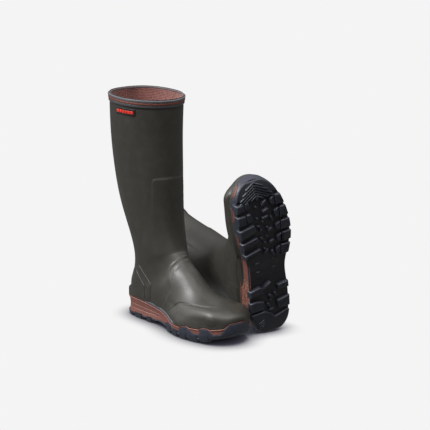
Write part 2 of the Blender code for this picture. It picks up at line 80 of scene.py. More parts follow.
OUTER_EDGE = mm((0, 0), (5, -20), (20, -33.5), (45, -38.5), (80, -39.5), (110, -39), (135, -41.5),
                (160, -48.8), (190, -54), (215, -52.5), (245, -46.5), (270, -38), (287, -26), (297, -8),
                (299, 6))
INNER_EDGE = mm((0, 0), (5, 20), (22, 35), (45, 39.5), (75, 39.5), (110, 37.5), (140, 37), (170, 41.5),
                (205, 46.5), (240, 48), (266, 45.5), (281, 39), (291, 30), (297, 18), (299, 6))
SEAM = mm((0, 7.8), (45, 7.6), (75, 8), (118, 10.8), (138, 10.8), (150, 16.5), (166, 16), (171, 12.5),
          (193, 13), (198, 19), (213, 24.6), (220, 20.5), (230, 15.5), (243, 16), (248, 27.6), (260, 28.6),
          (266, 24), (272, 20), (283, 22), (288, 30.8), (293, 39.5), (299, 41.5))
TOP = mm((0, 32.5), (10, 34.2), (30, 35.8), (58, 36), (92, 33.8), (123, 29.8), (150, 25), (171, 19.5),
         (193, 19.5), (213, 26), (220, 23.8), (243, 25), (248, 29), (260, 30), (266, 28), (283, 31.5),
         (288, 33), (293, 41), (299, 43))
INNER_SEAM = mm((0, 7.8), (18, 7.2), (30, 6.2), (142, 6.2), (152, 10), (158, 19), (174, 19.5), (179, 14),
                (201, 14.5), (206, 21), (221, 24.8), (228, 21), (238, 16.5), (251, 17), (256, 27.8),
                (268, 28.8), (274, 24), (280, 21.5), (289, 24), (293, 33), (297, 39.5), (299, 41.5))
INNER_TOP = mm((0, 32.5), (10, 34.5), (30, 37), (60, 38.5), (90, 37.5), (120, 34), (145, 27), (158, 20.3),
               (174, 20.5), (179, 20), (201, 20.5), (206, 22), (221, 25.7), (228, 24.5), (251, 25.5),
               (256, 28.8), (268, 29.7), (274, 28.5), (287, 30), (291, 30), (293, 33.8), (297, 40.3),
               (299, 42.5))
LUG, PLATE, RIM_WALL = 0.0045, 0.0045, 0.003
ARCH_AT, ARCH_SPREAD, ARCH_LIFT = 0.12, 0.024, 0.003
TOE_SPRING, SPRING_START, SPRING_LENGTH = 0.018, 0.21, 0.09

# ---- fineness
UPPER_ROWS, UPPER_COLUMNS = 370, 216
LINING_ROWS, LINING_COLUMNS = 150, 144
EDGE_POINTS = 360           # along each side of the sole
SUNK = 0.0018               # how far the ground between the lugs lies behind the outsole's edge
WALL_STEPS, GROOVES = 23, (8, 15)      # levels of the midsole's wall, and which are grooves at the heel
TEETH = np.array([0.0385, 0.067, 0.076, 0.145, 0.17, 0.193, 0.217, 0.2425, 0.2665])
FLARE = 0.03               # height over which the upper widens to the sole's edge


# ---- curves and surfaces

def smooth(knots, values, at):
    """Natural cubic spline through values at the knots."""
    knots, values, at = (np.asarray(a, float) for a in (knots, values, at))
    last = len(knots) - 1
    width = np.diff(knots)
    system = np.eye(last + 1)
    right = np.zeros_like(values)
    for i in range(1, last):
        system[i, i - 1:i + 2] = width[i - 1], 2 * (width[i - 1] + width[i]), width[i]
        right[i] = 6 * ((values[i + 1] - values[i]) / width[i]
                        - (values[i] - values[i - 1]) / width[i - 1])
    bend = np.linalg.solve(system, right)
    i = np.clip(np.searchsorted(knots, at) - 1, 0, last - 1)
    past, step = at - knots[i], width[i]
    if values.ndim > 1:
        past, step = past[..., None], step[..., None]
    slope = (values[i + 1] - values[i]) / step - step * (2 * bend[i] + bend[i + 1]) / 6
    return values[i] + past * (slope + past * (bend[i] / 2 + past * (bend[i + 1] - bend[i]) / (6 * step)))


def form(down, around):
    """Points of the boot's outer form."""
    down, around = np.broadcast_arrays(np.asarray(down, float), np.asarray(around, float))
    row = smooth(SECTIONS[:, 0], SECTIONS[:, 1:], down)
    (front_x, front_z, back_x, back_z, half, middle, round_front, round_back,
     widest) = np.moveaxis(row, -1, 0)
    cos, sin = np.cos(2 * np.pi * around), np.sin(2 * np.pi * around)
    power = 2 / np.where(cos > 0, round_front, round_back)
    cos, sin = np.sign(cos) * np.abs(cos) ** power, np.sign(sin) * np.abs(sin) ** power
    across = (1 - cos) / 2 + (widest - 0.5) * (1 - cos * cos)
    return np.stack([front_x + (back_x - front_x) * across, middle - half * sin,
                     front_z + (back_z - front_z) * across], -1)


def unit(vectors):
    """The same directions with a length of one."""
    return vectors / np.maximum(np.linalg.norm(vectors, axis=-1, keepdims=True), 1e-12)


def skin(down, around, depth):
    """Points sunk below the form by depth; a negative depth stands proud of it."""
    down, around, depth = np.broadcast_arrays(*(np.asarray(a, float) for a in (down, around, depth)))
    step = 1e-4
    along = form(np.clip(down + step, 0, 1), around) - form(np.clip(down - step, 0, 1), around)
    across = form(down, around + step) - form(down, around - step)
    return form(down, around) - depth[..., None] * unit(np.cross(across, along))


def spaced(density, count):
    """Places from 0 to 1, closer together where the (place, density) knots are higher."""
    at = np.linspace(0, 1, 4001)
    weight = np.interp(at, *zip(*density))
    total = np.concatenate([[0], np.cumsum((weight[1:] + weight[:-1]) / 2)])
    return np.interp(np.linspace(0, total[-1], count), total, at)


def ease(t):
    t = np.clip(t, 0, 1)
    return t * t * (3 - 2 * t)


def lengths(points):
    """How far along their line the points lie."""
    return np.concatenate([[0], np.cumsum(np.linalg.norm(np.diff(points, axis=0), axis=1))])


def straight(points, span, count):
    """Evenly spaced places on the straight runs between points."""
    at = np.linspace(0, span[-1], count)
    return np.stack([np.interp(at, span, column) for column in points.T], -1)


def traced(points, count=420, bent=True):
    """A smooth curve through (down, around) places, or straight runs between them."""
    points = np.array(points, float)
    span = lengths(form(*points.T))
    if bent:
        return smooth(span, points, np.linspace(0, span[-1], count))
    return straight(points, span, count)


def distance(spots, line, reach=0.008):
    """From each spot to the line, for the spots within reach of it; farther ones get reach."""
    result = np.full(len(spots), reach)
    low, high = line.min(axis=0) - reach, line.max(axis=0) + reach
    near = np.nonzero(((spots > low) & (spots < high)).all(axis=1))[0]
    for group in np.array_split(near, max(1, len(near) // 8000)):
        apart = spots[group][:, None, :] - line[None, :, :]
        result[group] = np.minimum(np.sqrt((apart ** 2).sum(axis=-1).min(axis=1)), reach)
    return result


def inside(down, around, outline):
    """Whether each place lies in the outline, with around signed from the front."""
    result = np.zeros(down.shape, bool)
    for (a0, b0), (a1, b1) in zip(outline, np.roll(outline, -1, axis=0)):
        if b0 != b1:
            crosses = (b0 > around) != (b1 > around)
            result ^= crosses & (down < a0 + (around - b0) / (b1 - b0) * (a1 - a0))
    return result


# ---- the sole's plan and heights

def spring(x):
    return TOE_SPRING * np.clip((np.asarray(x) - SPRING_START) / SPRING_LENGTH, 0, 1) ** 2


def underside(x):
    return LUG + spring(x) + ARCH_LIFT * np.exp(-((np.asarray(x) - ARCH_AT) / ARCH_SPREAD) ** 2)


def edge_curve(edge, count):
    span = lengths(edge)
    dense = smooth(span, edge, np.linspace(0, span[-1], 4000))
    return straight(dense, lengths(dense), count)


def sideways(heading):
    """Unit vectors to the right of each heading."""
    heading = unit(heading)
    return np.stack([heading[:, 1], -heading[:, 0]], -1)


# the plan as one loop: the outer side from heel to toe, then the inner side back
_outer, _inner = edge_curve(OUTER_EDGE, EDGE_POINTS), edge_curve(INNER_EDGE, EDGE_POINTS)
PLAN = np.vstack([_outer, _inner[1:-1][::-1]])
for _ in range(24):                 # rounds the meeting of the two sides at the toe and the heel
    PLAN = (np.roll(PLAN, 1, axis=0) + 2 * PLAN + np.roll(PLAN, -1, axis=0)) / 4
OUTWARD = sideways(np.roll(PLAN, -2, axis=0) - np.roll(PLAN, 2, axis=0))
ON_INNER = np.arange(len(PLAN)) >= EDGE_POINTS


def seam(x, inner):
    """Height of the outsole's rim."""
    return np.where(inner, np.interp(x, *INNER_SEAM.T), np.interp(x, *SEAM.T))


def top(x, inner):
    """Height of the midsole's lip."""
    return np.where(inner, np.interp(x, *INNER_TOP.T), np.interp(x, *TOP.T))


# the midsole's lip all round, and softened, for the upper to follow
STATIONS = np.arange(len(PLAN))
SPACING = np.linalg.norm(np.roll(PLAN, -1, axis=0) - np.roll(PLAN, 1, axis=0), axis=1) / 2
LIP = top(PLAN[:, 0], ON_INNER)
_window = np.hanning(61)
SOFT_LIP = np.convolve(np.pad(LIP, 30, mode="wrap"), _window / _window.sum(), mode="valid")


def flared(down, around, height):
    """The upper's outside: proud of the form by height, and meeting the sole just inside its edge."""
    points = skin(down, around, -np.asarray(height))
    flat = points.reshape(-1, 3)
    low = np.nonzero(flat[:, 2] < LIP.max() + FLARE)[0]
    for group in np.array_split(low, max(1, len(low) // 6000)):
        spot = flat[group, :2]
        nearest = ((spot[:, None, :] - PLAN[None, ::2, :]) ** 2).sum(axis=-1).argmin(axis=1) * 2
        past = spot - PLAN[nearest]
        along = OUTWARD[nearest, 0] * past[:, 1] - OUTWARD[nearest, 1] * past[:, 0]
        at = nearest + np.clip(along / SPACING[nearest], -1.2, 1.2)
        edge_x, edge_y, away_x, away_y, lip, soft_lip = (
            np.interp(at, STATIONS, of_plan, period=len(PLAN))
            for of_plan in (*PLAN.T, *OUTWARD.T, LIP, SOFT_LIP))
        away = np.stack([away_x, away_y], -1)
        rise, soft_rise = flat[group, 2] - lip, flat[group, 2] - soft_lip
        inset = ((np.stack([edge_x, edge_y], -1) - spot) * away).sum(axis=1)
        wanted = 0.0005 + 0.0045 * ease((0.0008 - rise) / 0.0022)
        widen = ease((FLARE - soft_rise) / (FLARE - 0.002)) * ease((0.026 - inset) / 0.008)
        tuck = ease((0.01 - rise) / 0.008)
        move = np.where(inset > wanted, widen, tuck) * ease((rise + 0.014) / 0.006) * (inset - wanted)
        flat[group, :2] += move[:, None] * away
    return flat.reshape(points.shape)


# ---- pieces

def stand(side):
    """Where a boot's own frame lies in the row frame."""
    if side == "right":
        return Matrix.Translation(RIGHT_AT)
    turn = Matrix.Rotation(math.radians(LEFT_YAW), 4, "Z")
    turn = turn @ Matrix.Rotation(math.radians(LEFT_ROLL), 4, "X")
    return Matrix.Translation(LEFT_HEEL) @ turn @ Matrix.Rotation(math.radians(-LEFT_TILT), 4, "Y")


def make(name, points, faces, look, side, nodes=(), slot="", uv=None, sharp=40, marks=None):
    """One mesh piece on a boot, riding its body and standing for the CAD nodes."""
    points = np.array(points, float)
    if side == "left":
        points[:, 1] *= -1
        faces = [face[::-1] for face in faces]
    mesh = bpy.data.meshes.new(f"{side}_{name}")
    mesh.from_pydata(points.tolist(), [], faces)
    if uv is not None:
        loops = np.empty(len(mesh.loops), np.int32)
        mesh.loops.foreach_get("vertex_index", loops)
        start, total = (np.empty(len(mesh.polygons), np.int32) for _ in range(2))
        mesh.polygons.foreach_get("loop_start", start)
        mesh.polygons.foreach_get("loop_total", total)
        place = np.array(uv, float)[loops]
        turn = uv[:, 0].max()
        highest = np.repeat(np.maximum.reduceat(place[:, 0], start), total)
        place[:, 0] += np.where(highest - place[:, 0] > turn / 2, turn, 0)
        mesh.uv_layers.new(name="UVMap").data.foreach_set("uv", place.astype(np.float32).ravel())
    if marks is not None:
        mark = mesh.attributes.new("mark", "FLOAT", "POINT")
        mark.data.foreach_set("value", marks.astype(np.float32))
    mesh.shade_smooth()
    mesh.set_sharp_from_angle(angle=math.radians(sharp))
    mesh.materials.append(LOOKS[look])
    mesh.transform(stand(side))
    piece = bpy.data.objects.new(f"{side}_{name}", mesh)
    bpy.context.scene.collection.objects.link(piece)
    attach(piece, f"{side}_boot")
    if nodes:
        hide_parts(*[f"{side}_{node}" for node in nodes])
    return piece


def quads(corners):
    """Faces between the neighbours in a grid of corner numbers."""
    faces = [corners[:-1, :-1], corners[:-1, 1:], corners[1:, 1:], corners[1:, :-1]]
    return np.stack(faces, -1).reshape(-1, 4).tolist()


def wrapped(rows, columns, first=0):
    """Quads of a grid that closes on itself sideways, facing outwards on the upper."""
    return quads(first + np.arange(rows)[:, None] * columns + np.arange(columns + 1) % columns)


def shell(outer, inner):
    """A closed shell from two grids of points, open at the first row, closed at the last by a fan."""
    rows, columns = outer.shape[:2]
    under = len(inner)
    points = np.vstack([outer.reshape(-1, 3), inner.reshape(-1, 3),
                        outer[-1].mean(axis=0), inner[-1].mean(axis=0)])
    first = rows * columns
    tips = (first + under * columns, first + under * columns + 1)
    faces = wrapped(rows, columns) + [face[::-1] for face in wrapped(under, columns, first)]
    for j in range(columns):
        k = (j + 1) % columns
        faces.append([k, j, first + j, first + k])
        faces.append([first - columns + j, first - columns + k, tips[0]])
        faces.append([tips[0] - columns + k, tips[0] - columns + j, tips[1]])
    return points, faces


def tube(loops):
    """A closed body from rings of corners: loops[corner, station] are points."""
    count, stations = loops.shape[:2]
    corners = (np.arange(count + 1) % count)[:, None] * stations + np.arange(stations)
    faces = quads(corners)
    points = loops.reshape(-1, 3)
    middle = points.mean(axis=0)
    triangles = [three for a, b, c, d in faces for three in ((a, b, c), (a, c, d))]
    volume = sum(np.linalg.det(points[list(three)] - middle) for three in triangles)
    faces += [corners[:-1, 0].tolist(), corners[-2::-1, -1].tolist()]
    return points, faces if volume > 0 else [face[::-1] for face in faces]


def seen(line, count=110):
    """Places (down, around) on the outer side of a line given by x and z in the side view."""
    wanted = straight(line, lengths(line), count)
    down, around = np.meshgrid(np.linspace(0.45, 0.85, 240), np.linspace(0.1, 0.45, 200), indexing="ij")
    grid = form(down, around)[..., ::2].reshape(-1, 2)
    first = ((grid[None] - wanted[:, None]) ** 2).sum(axis=-1).argmin(axis=1)
    place = np.stack([down.ravel()[first], around.ravel()[first]], -1)
    for _ in range(6):
        here = form(*place.T)[:, ::2]
        by_down = (form(place[:, 0] + 1e-4, place[:, 1])[:, ::2] - here) / 1e-4
        by_around = (form(place[:, 0], place[:, 1] + 1e-4)[:, ::2] - here) / 1e-4
        place += np.linalg.solve(np.stack([by_down, by_around], -1), (wanted - here)[..., None])[..., 0]
    return place


def rib(name, places, side, half, height):
    """A raised moulded line on the upper, through (down, around) places."""
    down, around = places.T
    count = len(places)
    lift = relief(down, around)
    spine = flared(down, around, lift)
    out = unit(flared(down, around, lift + 0.001) - spine)
    across = unit(np.cross(np.gradient(spine, axis=0), out))
    along = np.linspace(0, 1, count)
    size = np.maximum(ease(np.minimum(along, 1 - along) / 0.12), 0.08)[:, None]
    loops = []
    for turn in np.arange(10) * math.pi / 5:
        rise = height * math.sin(turn) if math.sin(turn) > 0 else 0.0006 * math.sin(turn)
        loops.append(spine + half * size * math.cos(turn) * across + size * rise * out)
    make(name, *tube(np.array(loops)), "rubber", side)


def rounded_ring(centre, half, corners=18, power=0.7):
    """A rounded closed profile of (down, depth) points."""
    turns = [2 * math.pi * k / corners for k in range(corners)]

    def bulge(value):
        return math.copysign(abs(value) ** power, value)
    return [(centre[0] + half[0] * bulge(math.cos(t)), centre[1] + half[1] * bulge(math.sin(t)))
            for t in turns]


def ring(name, profile, look, side, nodes, swell=None, columns=216, slot=""):
    """A band round the shaft; swell scales the profile's thickness at each column."""
    around = np.arange(columns) / columns
    middle = np.mean([depth for _, depth in profile])
    swell = np.ones(columns) if swell is None else swell(around)
    points = np.vstack([skin(down, around, middle + (depth - middle) * swell)
                        for down, depth in profile])
    faces = wrapped(len(profile), columns)
    last = (len(profile) - 1) * columns
    faces += [[last + j, last + (j + 1) % columns, (j + 1) % columns, j] for j in range(columns)]
    return make(name, points, faces, look, side, nodes, slot)


def slab(front, back):
    """A closed sheet between two grids of points of the same size."""
    corners = np.arange(front[..., 0].size).reshape(front.shape[:2])
    faces = quads(corners)
    faces += [[corner + corners.size for corner in face[::-1]] for face in faces]
    border = np.concatenate([corners[0], corners[1:, -1], corners[-1, -2::-1],
                             corners[-2:0:-1, 0]]).tolist()
    for a, b in zip(border, border[1:] + border[:1]):
        faces.append([b, a, a + corners.size, b + corners.size])
    return np.vstack([front.reshape(-1, 3), back.reshape(-1, 3)]), faces


def plate(rows, columns, top, base=0.0006, edge=0.0012, count=30):
    """A raised patch with rounded edges between two places down and two round; top is its height."""
    down, around = np.linspace(*rows, count)[:, None], np.linspace(*columns, count)[None, :]
    surface = form(down, around)
    tall = np.linalg.norm(np.diff(surface, axis=0), axis=-1).sum(axis=0).mean()
    wide = np.linalg.norm(np.diff(surface, axis=1), axis=-1).sum(axis=1).mean()
    s, t = np.linspace(0, 1, count)[:, None], np.linspace(0, 1, count)[None, :]
    within = np.minimum(np.minimum(s, 1 - s) * tall, np.minimum(t, 1 - t) * wide)
    height = -base + (top + base) * np.sqrt(np.clip(1 - (1 - np.clip(within / edge, 0, 1)) ** 2, 0, 1))
    return slab(flared(down, around, height), flared(down, around, -0.0012))


# ---- looks

class Nodes:
    """A short way to lay out a procedural material."""

    def __init__(self, name):
        self.look = bpy.data.materials.new(name)
        self.look.use_nodes = True
        self.tree = self.look.node_tree
        self.shader = self.tree.nodes["Principled BSDF"]
        self.at = self.add("ShaderNodeTexCoord")

    def add(self, kind, links=(), **values):
        node = self.tree.nodes.new(kind)
        for key, value in values.items():
            if key in node.inputs:
                node.inputs[key].default_value = value
            else:
                setattr(node, key, value)
        for key, source in dict(links).items():
            self.tree.links.new(source, node.inputs[key])
        return node

    def noise(self, scale, detail, Roughness=0.55, **more):
        return self.add("ShaderNodeTexNoise", {"Vector": self.at.outputs["Object"]}, Scale=scale,
                        Detail=detail, Roughness=Roughness, **more).outputs["Fac"]

    def ramp(self, source, stops):
        node = self.add("ShaderNodeValToRGB", {"Fac": source})
        band = node.color_ramp
        while len(band.elements) < len(stops):
            band.elements.new(0.5)
        for element, (place, colour) in zip(band.elements, stops):
            element.position = place
            element.color = (*colour, 1) if len(colour) == 3 else colour
        return node.outputs["Color"]

    def mix(self, share, a, b):
        node = self.add("ShaderNodeMix", data_type="RGBA")
        for index, value in ((0, share), (6, a), (7, b)):
            if isinstance(value, bpy.types.NodeSocket):
                self.tree.links.new(value, node.inputs[index])
            else:
                node.inputs[index].default_value = value if index == 0 else (*value, 1)
        return node.outputs[2]

    def span(self, source, low, high):
        limits = {"To Min": low, "To Max": high}
        return self.add("ShaderNodeMapRange", {"Value": source}, **limits).outputs[0]

    def bumps(self, *layers):
        """Each layer is (height, strength, distance); they add up."""
        normal = None
        for height, strength, depth in layers:
            links = {"Height": height}
            if normal is not None:
                links["Normal"] = normal
            bump = self.add("ShaderNodeBump", links, Strength=strength, Distance=depth)
            normal = bump.outputs["Normal"]
        self.tree.links.new(normal, self.shader.inputs["Normal"])

    def set(self, **inputs):
        for key, value in inputs.items():
            socket = self.shader.inputs[key.replace("_", " ")]
            if isinstance(value, bpy.types.NodeSocket):
                self.tree.links.new(value, socket)
            else:
                socket.default_value = (*value, 1) if isinstance(value, tuple) else value
        return self.look


def upper_rubber():
    n = Nodes("olive_rubber")
    broad = n.noise(9, 3)
    cloud = n.noise(60, 4)
    base = n.mix(n.span(broad, 0.1, 0.9), (0.0285, 0.0282, 0.0228), (0.036, 0.0342, 0.028))
    dusty = n.mix(n.span(cloud, -0.45, 0.5), base, (0.058, 0.057, 0.051))
    n.bumps((n.noise(220, 5), 0.16, 0.0007), (n.noise(1400, 2), 0.14, 0.0002))
    return n.set(Base_Color=dusty, Roughness=n.span(cloud, 0.36, 0.5), Specular_IOR_Level=0.5)


def plain_rubber(name, dark, light, rough, bump=0.1, scale=320):
    n = Nodes(name)
    cloud = n.noise(70, 4)
    n.bumps((n.noise(scale, 4), bump, 0.0005), (n.noise(1500, 2), bump, 0.0002))
    return n.set(Base_Color=n.mix(cloud, dark, light),
                 Roughness=n.span(cloud, rough - 0.06, rough + 0.08))


def tread_rubber():
    n = Nodes("navy_tread_rubber")
    cloud = n.noise(45, 5)
    scuff = n.noise(380, 4)
    base = n.mix(cloud, (0.018, 0.0215, 0.033), (0.031, 0.036, 0.053))
    scuffs_and_painted_shade = n.mix(n.ramp(scuff, [(0.58, (0, 0, 0)), (0.74, (1, 1, 1))]), base, (0.06, 0.067, 0.088))
    # The mark attribute mixes in near-black rubber: painted shade in the ground between the lugs, on the
    # lugs' faces and walls and on the kick ledge, with the lugs' rounded edges left lighter as a painted
    # highlight.
    painted_shade_share = n.add("ShaderNodeAttribute", attribute_name="mark").outputs["Fac"]
    scuffs_and_painted_shade = n.mix(painted_shade_share, scuffs_and_painted_shade, (0.0055, 0.006, 0.0085))
    n.bumps((scuff, 0.16, 0.0006), (n.noise(1300, 2), 0.1, 0.0002))
    return n.set(Base_Color=scuffs_and_painted_shade, Roughness=n.span(cloud, 0.36, 0.52))


def midsole_foam():
    n = Nodes("brick_midsole")
    cloud = n.noise(55, 4)
    base = n.mix(cloud, (0.138, 0.052, 0.04), (0.195, 0.078, 0.062))
    mark = n.add("ShaderNodeAttribute", attribute_name="mark").outputs["Fac"]
    cells = n.add("ShaderNodeTexVoronoi", {"Vector": n.at.outputs["Object"]}, Scale=420.0,
                  Randomness=0.85)
    pit = n.ramp(cells.outputs["Distance"], [(0.1, (1, 1, 1)), (0.34, (0, 0, 0))])
    speckle = n.add("ShaderNodeMath", {0: mark, 1: pit}, operation="MULTIPLY").outputs[0]
    n.bumps((n.noise(500, 4), 0.12, 0.0004), (speckle, 0.6, 0.0012))
    return n.set(Base_Color=n.mix(speckle, base, (0.9, 0.52, 0.33)),
                 Roughness=n.span(cloud, 0.38, 0.52))


def knit():
    n = Nodes("terracotta_knit")
    place = n.at.outputs["UV"]
    cells = n.add("ShaderNodeTexVoronoi", {"Vector": place}, Scale=360.0, Randomness=0.0)
    hole = n.ramp(cells.outputs["Distance"], [(0.24, (1, 1, 1)), (0.38, (0, 0, 0))])
    stitch = n.add("ShaderNodeTexWave", {"Vector": place}, Scale=110.0, Distortion=1.2,
                   bands_direction="X")
    yarn = n.mix(n.span(n.noise(90, 4), 0.0, 1.0), (0.235, 0.085, 0.068), (0.32, 0.12, 0.098))
    solid = n.add("ShaderNodeMath", {1: hole}, operation="SUBTRACT", Value=1.0)
    n.bumps((stitch.outputs["Fac"], 0.35, 0.0006), (solid.outputs[0], 0.8, 0.0012))
    return n.set(Base_Color=n.mix(hole, yarn, (0.06, 0.02, 0.016)), Roughness=0.92, Sheen_Weight=0.25,
                 Sheen_Roughness=0.5)


def foam_look(name, dark, light):
    n = Nodes(name)
    cells = n.add("ShaderNodeTexVoronoi", {"Vector": n.at.outputs["Object"]}, Scale=900.0)
    n.bumps((cells.outputs["Distance"], 0.5, 0.0006))
    return n.set(Base_Color=n.mix(n.noise(120, 4), dark, light), Roughness=0.95)


def board_look():
    n = Nodes("fibre_board")
    fibre = n.noise(240, 6, Roughness=0.5, Distortion=2.5)
    n.bumps((fibre, 0.2, 0.0004))
    return n.set(Base_Color=n.mix(fibre, (0.26, 0.18, 0.1), (0.4, 0.3, 0.18)), Roughness=0.85)


def steel_look():
    n = Nodes("spring_steel")
    grain = n.noise(900, 2, Roughness=0.5)
    n.bumps((grain, 0.08, 0.0002))
    return n.set(Base_Color=n.mix(grain, (0.38, 0.38, 0.39), (0.52, 0.52, 0.53)), Metallic=1.0,
                 Roughness=n.span(grain, 0.28, 0.42))


LOOKS = {
    "rubber": upper_rubber(),
    "binding": plain_rubber("grey_binding", (0.088, 0.087, 0.094), (0.122, 0.12, 0.13), 0.27),
    "stripe": plain_rubber("russet_stripe", (0.13, 0.036, 0.024), (0.175, 0.05, 0.036), 0.46),
    # A darker copy of the grey binding for the rim's lower band: painted shade.
    "shaded_binding_copy": plain_rubber("binding_with_painted_shade", (0.05, 0.05, 0.055), (0.07, 0.07, 0.076), 0.36),
    "badge": plain_rubber("black_badge", (0.006, 0.006, 0.007), (0.011, 0.011, 0.012), 0.52, 0.25, 900),
    "mark": plain_rubber("red_mark", (0.62, 0.025, 0.015), (0.74, 0.045, 0.025), 0.42),
    "tread": tread_rubber(),
    # A lighter, bluer copy of the tread rubber for the waist strip: painted sheen.
    "trim": plain_rubber("slate_trim", (0.06, 0.068, 0.082), (0.095, 0.105, 0.122), 0.34, 0.3, 240),
    "midsole": midsole_foam(),
    "lining": knit(),
    "foam": foam_look("grey_foam", (0.1, 0.1, 0.1), (0.15, 0.15, 0.15)),
    "cushion": foam_look("cushion_foam", (0.1, 0.11, 0.12), (0.16, 0.17, 0.18)),
    "footbed": foam_look("footbed_fabric", (0.042, 0.038, 0.034), (0.07, 0.064, 0.058)),
    "board": board_look(),
    "steel": steel_look(),
}

# ---- the upper
INSTEP = [(0.586, -0.015), (0.59, 0.02), (0.6, 0.058), (0.612, 0.093), (0.632, 0.113), (0.669, 0.141),
          (0.705, 0.162), (0.72, 0.19), (0.735, 0.231), (0.742, 0.265)]
RAND = [(0.775, 0.33), (0.781, 0.28), (0.785, 0.231), (0.786, 0.203), (0.81, 0.168), (0.845, 0.144),
        (0.884, 0.129), (0.922, 0.112), (0.944, 0.07), (0.948, 0.000)]
COUNTER = [(0.546, 0.5), (0.542, 0.4), (0.546, 0.286), (0.609, 0.234), (0.64, 0.218), (0.655, 0.231),
           (0.7, 0.274)]
# x and z of the heel's chevron lines in the side view
HEEL_LINES = [mm((56, 104), (92.3, 72.8), (91.5, 40)), mm((47.5, 92.5), (73.8, 67.2), (76, 40))]
GUARD_TOP = [(0.262, 0.1125), (0.248, 0.1105), (0.241, 0.104), (0.237, 0.07), (0.236, 0.028),
             (0.2365, -0.02), (0.238, -0.06), (0.243, -0.092), (0.249, -0.099), (0.263, -0.101)]
GUARD_SIDES = ([(0.262, 0.1125), (0.3, 0.118), (0.35, 0.129)],
               [(0.263, -0.101), (0.3, -0.107), (0.35, -0.118)])
OVERLAY = 0.001            # height of the reinforcements above the shell


def both_sides(half, shift=0.0):
    """A line from the outer side over the front to the inner side, from its outer half."""
    inner = [(down, shift - around) for down, around in half]
    return half, inner


def raised(down, around, spots, edges, outline, height, width, bent=True):
    """Height of an overlay with rounded edges, inside the outline."""
    reach = max(0.008, 1.2 * width)
    away = np.full(len(spots), reach)
    for edge in edges:
        away = np.minimum(away, distance(spots, form(*traced(edge, bent=bent).T), reach))
    return np.where(inside(down, around, np.array(outline)), height * ease(away / width), 0.0)


def ridge(spots, edge, height, width, bent=True):
    """A raised line."""
    return height * np.exp(-(distance(spots, form(*traced(edge, bent=bent).T)) / width) ** 2)


def relief(down, around):
    """Height of the moulded details of the upper at each place."""
    shape = down.shape
    down, around = down.ravel(), (around.ravel() + 0.5) % 1 - 0.5
    spots = form(down, around)
    height = np.zeros(len(down))

    outer, inner = both_sides(INSTEP, -0.03)
    outline = inner[::-1] + outer[1:] + [(0.742, 0.5), (1.01, 0.5), (1.01, -0.5), (0.742, -0.5)]
    height += raised(down, around, spots, [outer, inner], outline, 0.0009, 0.006)
    fade = ease((0.7 - down) / 0.06)
    for side in (outer, inner):
        height += ridge(spots, side[:7], 0.0007, 0.0022) * fade
        height -= ridge(spots, [(a + 0.012, b * 0.93) for a, b in side[:6]], 0.0004, 0.002) * fade
        height += ridge(spots, [(a + 0.024, b * 0.86) for a, b in side[:5]], 0.0003, 0.0022) * fade

    outer, inner = both_sides(RAND, 0.0)
    outline = outer + inner[::-1][1:] + [(0.775, -0.5), (1.01, -0.5), (1.01, 0.5), (0.775, 0.5)]
    height += raised(down, around, spots, [outer, inner], outline, 0.5 * OVERLAY, 0.003)
    for side in (outer, inner):
        height -= ridge(spots, side, 0.0007, 0.0017)
    height += raised(down, around, spots, [outer, inner], outline, 1.9 * OVERLAY, 0.015)
    height -= 0.0022 * ease((down - 0.66) / 0.12)

    for sign in (1, -1):
        line = [(a, sign * b) for a, b in COUNTER]
        outline = line + [(0.705, sign * 0.5)]
        height += raised(down, around, spots, [line], outline, 0.0008, 0.005, False)

    outer, inner = GUARD_SIDES
    outline = [(0.45, 0.129)] + outer[::-1] + GUARD_TOP[1:] + inner[1:] + [(0.45, -0.118)]
    guard = raised(down, around, spots, [GUARD_TOP, *GUARD_SIDES], outline, 0.0012, 0.002)
    height += guard * ease((0.4 - down) / 0.14)
    height += ridge(spots, GUARD_TOP[2:7], 0.0003, 0.0011)

    # the heel's fullness, a panel low on the inner side, and a groove under the rim's binding
    x, z = spots[:, 0], spots[:, 2]
    height += 0.0016 * np.exp(-((z - 0.068) / 0.013) ** 2) * ease((np.abs(around) - 0.22) / 0.12)
    panel = np.minimum(np.minimum(x - 0.046, 0.09 - x), np.minimum(z - 0.046, 0.087 - z))
    height += np.where(around < 0, 0.0008 * ease(panel / 0.0016), 0)
    height -= 0.0005 * np.exp(-((down - 0.0248) / 0.0016) ** 2)

    # parting lines of the mould, and the slight unevenness of dipped rubber
    middle = np.minimum(np.abs(around), 0.5 - np.abs(around))
    height += 0.00025 * np.exp(-(middle / 0.003) ** 2) * ease((0.5 - down) / 0.1)
    sway = (np.sin(11 * down + 3.1 * np.sin(2 * np.pi * around))
            * np.cos(2 * np.pi * around * 2 + 5 * down))
    height += 0.00035 * sway * ease(down / 0.08) * ease((0.98 - down) / 0.1)
    return height.reshape(shape)


def upper(side, height):
    """Outer rubber with its reinforcements moulded on, and its own inner face."""
    outer = flared(UPPER_DOWN[:, None], UPPER_AROUND[None, :], height)
    inner = skin(np.linspace(0.004, 1.0, 70)[:, None], UPPER_AROUND[None, :], 0.0023)
    points, faces = shell(outer, inner)
    make("upper", points, faces, "rubber", side,
         ("rubber_shell", "vamp_saddle", "toe_cap", "heel_counter", "shin_guard"), sharp=60)
    return outer


def fold(down):
    """How much thinner the padding is near the mouth."""
    return 0.0062 * (1 - ease(down / 0.075))


